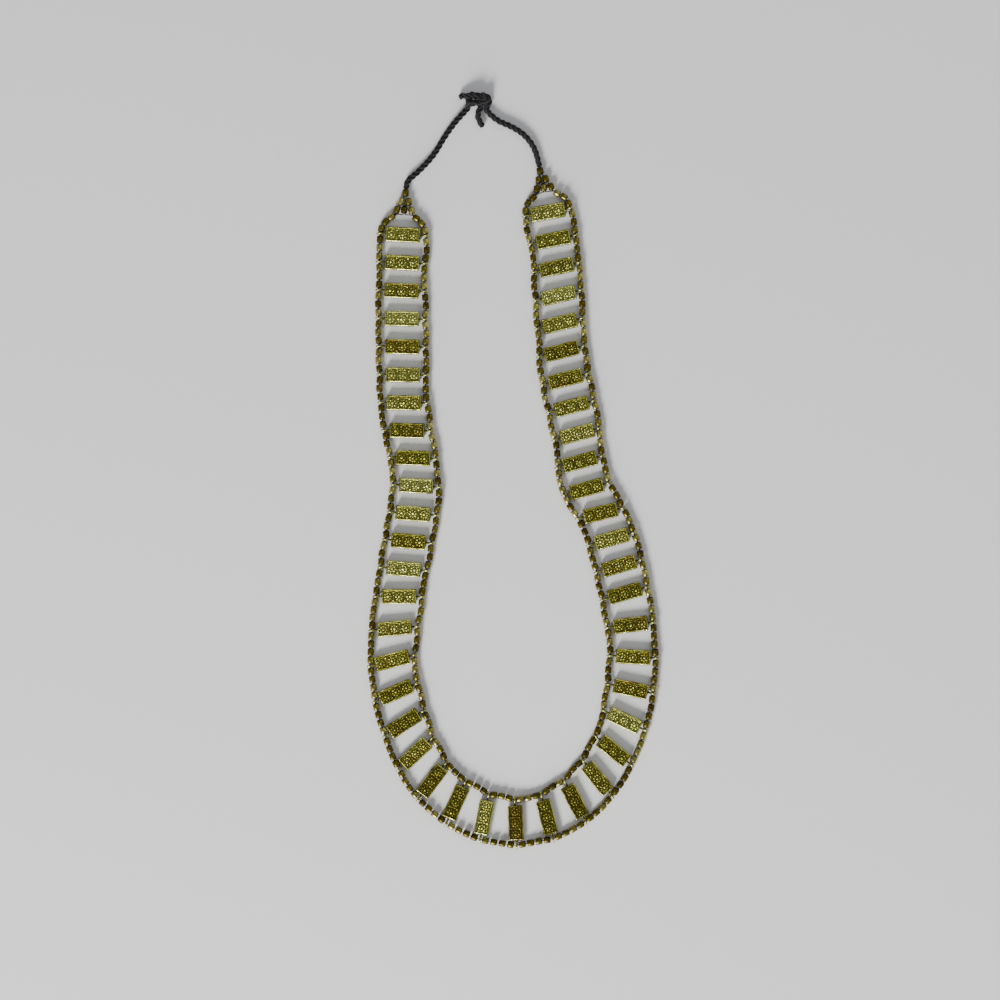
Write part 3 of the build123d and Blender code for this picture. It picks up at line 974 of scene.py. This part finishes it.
def grid_lines(half):
    """Places of the grid's lines from edge to edge, with a few on the rim and on its bevel."""
    wall = half - BEVEL - RIM
    field = np.linspace(0, wall - WALL_RUN, int(wall / GRID_STEP))
    rim = wall + RIM * np.array([0, 1 / 3, 2 / 3, 1])
    right = np.concatenate([field, rim, [half - BEVEL / 2, half]])
    return np.concatenate([-right[:0:-1], right])


def rounded(x, y):
    """The grid with round corners: u and v in a corner square go to u root(1 - v v / 2) and the like."""
    u = np.clip((np.abs(x) - PLATE_LENGTH / 2 + PLATE_CORNER) / PLATE_CORNER, 0, 1)
    v = np.clip((np.abs(y) - PLATE_WIDTH / 2 + PLATE_CORNER) / PLATE_CORNER, 0, 1)
    x = x + np.sign(x) * PLATE_CORNER * u * (np.sqrt(1 - v**2 / 2) - 1)
    y = y + np.sign(y) * PLATE_CORNER * v * (np.sqrt(1 - u**2 / 2) - 1)
    return x, y


grid_x, grid_y = np.meshgrid(grid_lines(PLATE_LENGTH / 2), grid_lines(PLATE_WIDTH / 2), indexing="ij")
inwards = np.minimum(PLATE_LENGTH / 2 - np.abs(grid_x), PLATE_WIDTH / 2 - np.abs(grid_y))
print("plate grid", grid_x.shape)

# %% The ornament
ROSETTES = 3
ROSETTE_PITCH = 4.5
ROSETTE_RADIUS = 1.9
PETALS = 8
PETAL_HEIGHT = 0.34
PETAL_SLOPE = 0.4
NOTCH_REACH = 0.74
NOTCH_HEIGHT = 0.45
STUD_RADIUS = 0.58
STUD_HEIGHT = 0.4
GROOVE_RADIUS = 0.82
GROOVE_WIDTH = 0.13
GROOVE_DEPTH = 0.22
SIDE_STUD_PLACE = 1.62
SIDE_STUD_RADIUS = 0.42
LEAF_PLACE = 0.62
LEAF_LENGTH = 1.3
LEAF_WIDTH = 0.5
LEAF_HEIGHT = 0.3
GRAIN_PITCH = 0.52
GRAIN_RADIUS = 0.23
GRAIN_HEIGHT = 0.24
STRIKE_TURN = 0.1


def dome(x, y, radius, height):
    """A round stud: its height times the root of 1 - (r / radius) squared."""
    return height * np.sqrt(np.clip(1 - (x**2 + y**2) / radius**2, 0, 1))


def rosette(x, y, turn):
    """Petals, highest along their middles and parted by grooves, round a stud in a ring of its own."""
    r = np.hypot(x, y)
    petal = np.abs(np.cos(PETALS / 2 * (np.arctan2(y, x) + turn)))
    reach = ROSETTE_RADIUS * (NOTCH_REACH + (1 - NOTCH_REACH) * petal)
    ridge = NOTCH_HEIGHT + (1 - NOTCH_HEIGHT) * petal**0.7
    body = PETAL_HEIGHT * smooth((reach - r) / PETAL_SLOPE) * ridge
    groove = GROOVE_DEPTH * np.exp(-(((r - GROOVE_RADIUS) / GROOVE_WIDTH) ** 2))
    return body - groove + dome(x, y, STUD_RADIUS, STUD_HEIGHT)


def leaf(x, y, length, width, height):
    """A pointed leaf along x: a ridge that falls to nothing at its sides and its two tips."""
    half = width / 2 * np.clip(1 - (2 * x / length) ** 2, 0.001, 1)
    return height * np.clip(1 - np.abs(y) / half, 0, 1) ** 0.7 * (np.abs(x) < length / 2)


def ornament(x, y):
    """Everything that stands in the field, as heights above it."""
    total = np.zeros_like(x)
    for number in range(ROSETTES):
        middle = (number - (ROSETTES - 1) / 2) * ROSETTE_PITCH
        total = np.maximum(total, rosette(x - middle, y, chance.normal(0, STRIKE_TURN)))
    for number in range(ROSETTES + 1):
        middle = (number - ROSETTES / 2) * ROSETTE_PITCH
        for side in (-1, 1):
            stud = dome(x - middle, y - side * SIDE_STUD_PLACE, SIDE_STUD_RADIUS, SIDE_STUD_RADIUS)
            blade = leaf(y - side * LEAF_PLACE, x - middle, LEAF_LENGTH, LEAF_WIDTH, LEAF_HEIGHT)
            total = np.maximum(total, np.maximum(stud, blade))
    end_x, end_y = [size / 2 - BEVEL - RIM - WALL_RUN for size in (PLATE_LENGTH, PLATE_WIDTH)]
    for along, along_end, across, across_end in ((x, end_x, y, end_y), (y, end_y, x, end_x)):
        step = (along + GRAIN_PITCH / 2) % GRAIN_PITCH - GRAIN_PITCH / 2
        grains = dome(step, np.abs(across) - across_end + GRAIN_RADIUS, GRAIN_RADIUS, GRAIN_HEIGHT)
        total = np.maximum(total, grains * (np.abs(along) < along_end))
    return total


print("rosette height", round(float(rosette(grid_x, grid_y, 0).max()), 2), "mm")

# %% [markdown]
# ## One plate's top
#
# All the plates carry the same ornament, but no two were struck alike. So the ornament is shifted and
# warped a little before it is drawn, struck to a depth of its own, and given soft lumps, fine pits, and
# slanting marks on its rim. The highest crests are worn lower. One mesh in forty-six places would be
# lighter, but the plates would look like copies.

# %% One plate's top
MILLING = 0.6
MILLING_HEIGHT = 0.06
STRIKE_SHIFT = 0.07
STRIKE_WARP = 0.05
STRIKE_DEPTH = (0.7, 1.0)
LUMP_HEIGHT = 0.035
PIT_HEIGHT = 0.035
RIM_PITS = 0.35
CREST = 0.62
CREST_WEAR = 0.3


def waves(longest, shortest, count):
    """Irregular lumps about zero over the plate's grid: a sum of that many cosines.

    Their directions and phases are random, and their lengths fall in equal ratios from longest on.
    """
    turns = chance.uniform(0, 2 * np.pi, (2, count))
    lengths = np.geomspace(longest, shortest, count)
    across = grid_x[..., None] * np.cos(turns[0]) + grid_y[..., None] * np.sin(turns[0])
    return np.cos(2 * np.pi * across / lengths + turns[1]).mean(-1) * np.sqrt(count)


def plate_top():
    """Heights of one plate's top, struck a little off its neighbour's, pitted, and worn on its crests."""
    shift = chance.normal(0, STRIKE_SHIFT, 2)
    warp = STRIKE_WARP * waves(4, 1.5, 6)
    struck = ornament(grid_x + shift[0] + warp, grid_y + shift[1] - warp)
    field = smooth((inwards - BEVEL - RIM) / WALL_RUN)
    edge = (FIELD_DEPTH - BEVEL * (1 - np.clip(inwards / BEVEL, 0, 1))) * (1 - field)
    lumps = LUMP_HEIGHT * waves(2.6, 0.7, 12)
    pits = PIT_HEIGHT * waves(0.75, 0.36, 16) * (RIM_PITS + (1 - RIM_PITS) * field)
    milled = MILLING_HEIGHT * np.cos(2 * np.pi * (grid_x + grid_y) / MILLING)
    milled *= (1 - field) * (inwards > BEVEL / 2)
    heights = edge + field * chance.uniform(*STRIKE_DEPTH) * struck + milled + lumps + pits
    return np.minimum(heights, CREST + CREST_WEAR * (heights - CREST))


print("above", CREST, "mm, only", CREST_WEAR, "of a crest's height is left")

# %% [markdown]
# ## From the grid to a closed plate
#
# The grid's edge is followed once round, and two more loops below it make the side and the small
# rounding at its foot. A fan closes the back. A Solidify modifier would close the grid too, but it would
# press the ornament through the back. At each end a short neck of solder, thick at the plate and
# thinner at the ring, carries the ring through which the thread passes.

# %% The shells of a rung
RING_SIDES = 20
WIRE_SIDES = 8
NECK_START = 6.7
NECK_END = 7.97
NECK_THICK = 0.6
NECK_THIN = 0.33
NECK_TALLNESS = 1.6
NECK_RINGS = 7
NECK_SIDES = 12
FOOT_RISE = 0.15
FOOT_SHARE = (0.985, 0.97)
EDGE_UNEVENNESS = 0.006


def edge_loop(columns, rows):
    """Grid numbers once round the edge, against the clock seen from above."""
    index = np.arange(columns * rows).reshape(columns, rows)
    sides = [index[:-1, 0], index[-1, :-1], index[:0:-1, -1], index[0, :0:-1]]
    return index, np.concatenate(sides)


def plate_shell(heights):
    """Points and faces of a closed plate from the heights of its top."""
    x, y = rounded(grid_x, grid_y)
    worn = 1 + EDGE_UNEVENNESS * waves(5, 1.5, 6) * (inwards < BEVEL)
    top = np.stack([x * worn, y * worn, FIELD_HEIGHT + heights], axis=-1)
    index, loop = edge_loop(*grid_x.shape)
    rim = top.reshape(-1, 3)[loop]
    foot = rim * (1, 1, 0) + (0, 0, PLATE_BOTTOM + FOOT_RISE)
    under = foot * (*FOOT_SHARE, 0) + (0, 0, PLATE_BOTTOM)
    points = np.concatenate([top.reshape(-1, 3), foot, under, [(0, 0, PLATE_BOTTOM)]])
    squares = [index[:-1, :-1], index[1:, :-1], index[1:, 1:], index[:-1, 1:]]
    squares = np.stack(squares, axis=-1).reshape(-1, 4)
    first = index.size + np.arange(len(loop))
    second = first + len(loop)
    bands = [
        np.stack([high, low, np.roll(low, -1), np.roll(high, -1)], axis=-1)
        for high, low in ((loop, first), (first, second))
    ]
    back = np.stack([np.full(len(loop), len(points) - 1), np.roll(second, -1), second], axis=-1)
    return points, [squares, *bands, back]


def ring_shell(side):
    """The soldered ring: a wire carried round a circle that stands in the plate's long plane."""
    turn = full_turn(RING_SIDES)[:, None]
    around = full_turn(WIRE_SIDES)
    wire = RING_WIRE / 2
    reach = RING_OUTER / 2 - wire + wire * np.cos(around)
    x = side * RING_SPACING / 2 + reach * np.cos(turn)
    z = RING_OUTER / 2 + reach * np.sin(turn)
    y = np.broadcast_to(wire * np.sin(around), x.shape)
    return np.stack([x, y, z], axis=-1).reshape(-1, 3), [net_faces(RING_SIDES, WIRE_SIDES, True)]


def neck_shell(side):
    """The solder between plate and ring: an oval whose width falls with (1 - share) squared."""
    share = np.linspace(0, 1, NECK_RINGS)[:, None]
    around = full_turn(NECK_SIDES)
    half_width = NECK_THIN + (NECK_THICK - NECK_THIN) * (1 - share) ** 2
    x = side * (NECK_START + (NECK_END - NECK_START) * share) + 0 * around
    y = half_width * np.cos(around)
    z = RING_OUTER / 2 + NECK_TALLNESS * half_width * np.sin(around)
    return tube_shell(np.stack([x, y, z], axis=-1))


print("ring", len(ring_shell(1)[0]), "points, neck", len(neck_shell(1)[0]), "points")

# %% [markdown]
# ## Forty-six plates with their wear
#
# A relief value at each point tells the metal how rubbed it is. It is high on what stands above its
# surroundings, which is each height less the evened-out heights around it. The plates' edges are
# rubbed here and there. Round the curve a painted shade lowers the plates' relief, so they come out
# darkest there. Two short lists name the plates that are the brownest and the palest, and chance gives
# the others their tone. Wear painted by hand would have to be painted forty-six times. Each plate also
# leans a degree or two about its long axis, because nothing holds it level on its threads.

# %% The plates, one by one
ROLL_SPREAD = 0.03
SPREAD_ROUNDS = 14
OPEN_WEAR = 0.54
TONE_WEAR = 0.2
# how much a painted shade lowers the wear of the plates round the curve, so they come out darker
PLATE_CURVE_SHADE = 0.12
PROUD_WEAR = 1.5
HEIGHT_WEAR = 0.25
MEAN_HEIGHT = 0.15
RIM_DULLING = 0.1
EDGE_WEAR = 0.82
EDGE_PATCHES = 0.25
EDGE_WEAR_LIMITS = (0.35, 0.95)
SIDE_RELIEF = 0.38
RING_RELIEF = 0.75
NECK_RELIEF = 0.3
# plates by number, from the left end
BROWNEST = (8, 17, 18, 20, 21, 23, 25, 31, 32, 35, 41)
PALEST = (4, 10, 13, 22, 28, 43)
BROWNEST_TONE = 0.05
PALEST_TONE = 0.95
OTHER_TONES = (0.2, 0.75)


def spread_out(heights, times):
    """Heights evened out: each becomes the mean of itself, twice, and its four neighbours."""
    for turn in range(times):
        edge = np.pad(heights, 1, mode="edge")
        beside = edge[:-2, 1:-1] + edge[2:, 1:-1] + edge[1:-1, :-2] + edge[1:-1, 2:]
        heights = (2 * heights + beside) / 6
    return heights


rung_faces = 0
for number, (middle, axis) in enumerate(zip(rung_middles, rung_axes), 1):
    if number in BROWNEST:
        tone = BROWNEST_TONE
    elif number in PALEST:
        tone = PALEST_TONE
    else:
        tone = chance.uniform(*OTHER_TONES)
    heights = plate_top()
    proud = heights - spread_out(heights, SPREAD_ROUNDS)
    # the plate's wear from its tone, lowered round the curve by a painted shade
    wear_and_shade = OPEN_WEAR + TONE_WEAR * (tone - 0.5) - PLATE_CURVE_SHADE * curve_shade(middle)
    shown = np.clip(wear_and_shade + PROUD_WEAR * proud + HEIGHT_WEAR * (heights - MEAN_HEIGHT), 0, 1)
    shown[(inwards > BEVEL) & (inwards < BEVEL + RIM)] -= RIM_DULLING
    edge_wear = np.clip(EDGE_WEAR + EDGE_PATCHES * waves(12, 4, 5), *EDGE_WEAR_LIMITS)
    shown[inwards < BEVEL] = edge_wear[inwards < BEVEL]
    shells = [plate_shell(heights), ring_shell(-1), ring_shell(1), neck_shell(-1), neck_shell(1)]
    counts = [len(points) for points, faces in shells]
    relief = np.concatenate([
        shown.ravel(), np.full(counts[0] - shown.size, SIDE_RELIEF),
        np.full(counts[1] + counts[2], RING_RELIEF), np.full(counts[3] + counts[4], NECK_RELIEF),
    ])
    attributes = {"relief": relief, "tint": np.full(sum(counts), tone)}
    roll = chance.normal(0, ROLL_SPREAD)
    placed = []
    for points, faces in shells:
        ground = middle + axis * (points[:, 0] + 1j * points[:, 1])
        height = points[:, 2] + roll * points[:, 1]
        placed.append((np.column_stack([ground.real, ground.imag, height]), faces))
    make_piece(
        f"plate_{number:02d}", placed, attributes, plate_brass, [f"rung_{number:02d}"], 60
    )
    rung_faces += sum(len(group) for points, groups in placed for group in groups)
print("rung faces", rung_faces, "on", RUNG_COUNT, "rungs")

# %% [markdown]
# ## Floor and light
#
# A pale, plain floor and soft lights show the metal without telling a story of their own. The main
# light stands to the lower left, and a second one near it and lower down makes the plates' near edges
# shine, while their far edges stay dark. A large, weak one from the other side and a grey sky keep the
# hollows readable.

# %% Floor and light
FLOOR_HALF = 3.0
LIGHTS = [
    # name, place in metres, side in metres, power in watts
    ("key light", (-0.9, -1.9, 1.15), 0.65, 92),
    ("edge light", (-0.6, -2.2, 0.42), 0.9, 34),
    ("fill light", (0.9, 0.7, 1.1), 1.2, 4),
]
floor_mesh = bpy.data.meshes.new("floor")
floor_corners = [(FLOOR_HALF * x, FLOOR_HALF * y, 0) for x, y in ((-1, -1), (1, -1), (1, 1), (-1, 1))]
floor_mesh.from_pydata(floor_corners, [], [(0, 1, 2, 3)])
floor_paint, _, floor_shader = new_material("pale floor")
floor_shader["Base Color"].default_value = (0.86, 0.85, 0.83, 1)
floor_shader["Roughness"].default_value = 0.85
floor_mesh.materials.append(floor_paint)
floor = add_object("floor", floor_mesh)
floor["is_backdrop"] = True


def soft_light(name, place, size, power):
    """A square lamp that looks at the middle of the necklace."""
    lamp = bpy.data.lights.new(name, "AREA")
    lamp.size = size
    lamp.energy = power
    holder = add_object(name, lamp)
    holder.location = place
    holder.rotation_euler = (-holder.location).to_track_quat("-Z", "Y").to_euler()


for light in LIGHTS:
    soft_light(*light)
sky = bpy.data.worlds.new("sky")
sky.use_nodes = True
sky.node_tree.nodes["Background"].inputs["Color"].default_value = (0.9, 0.93, 1, 1)
sky.node_tree.nodes["Background"].inputs["Strength"].default_value = 0.35
bpy.context.scene.world = sky
print("lights", [name for name, place, size, power in LIGHTS])

# %% [markdown]
# ## The last look
#
# The dressed model's box, the floor left out, is worked out and its size printed. The dressed model
# has to stay within a hair of the frame's box.

# %% Sizes and finish
low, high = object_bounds()
print("visual", [round(size / MM, 1) for size in high - low], "mm")
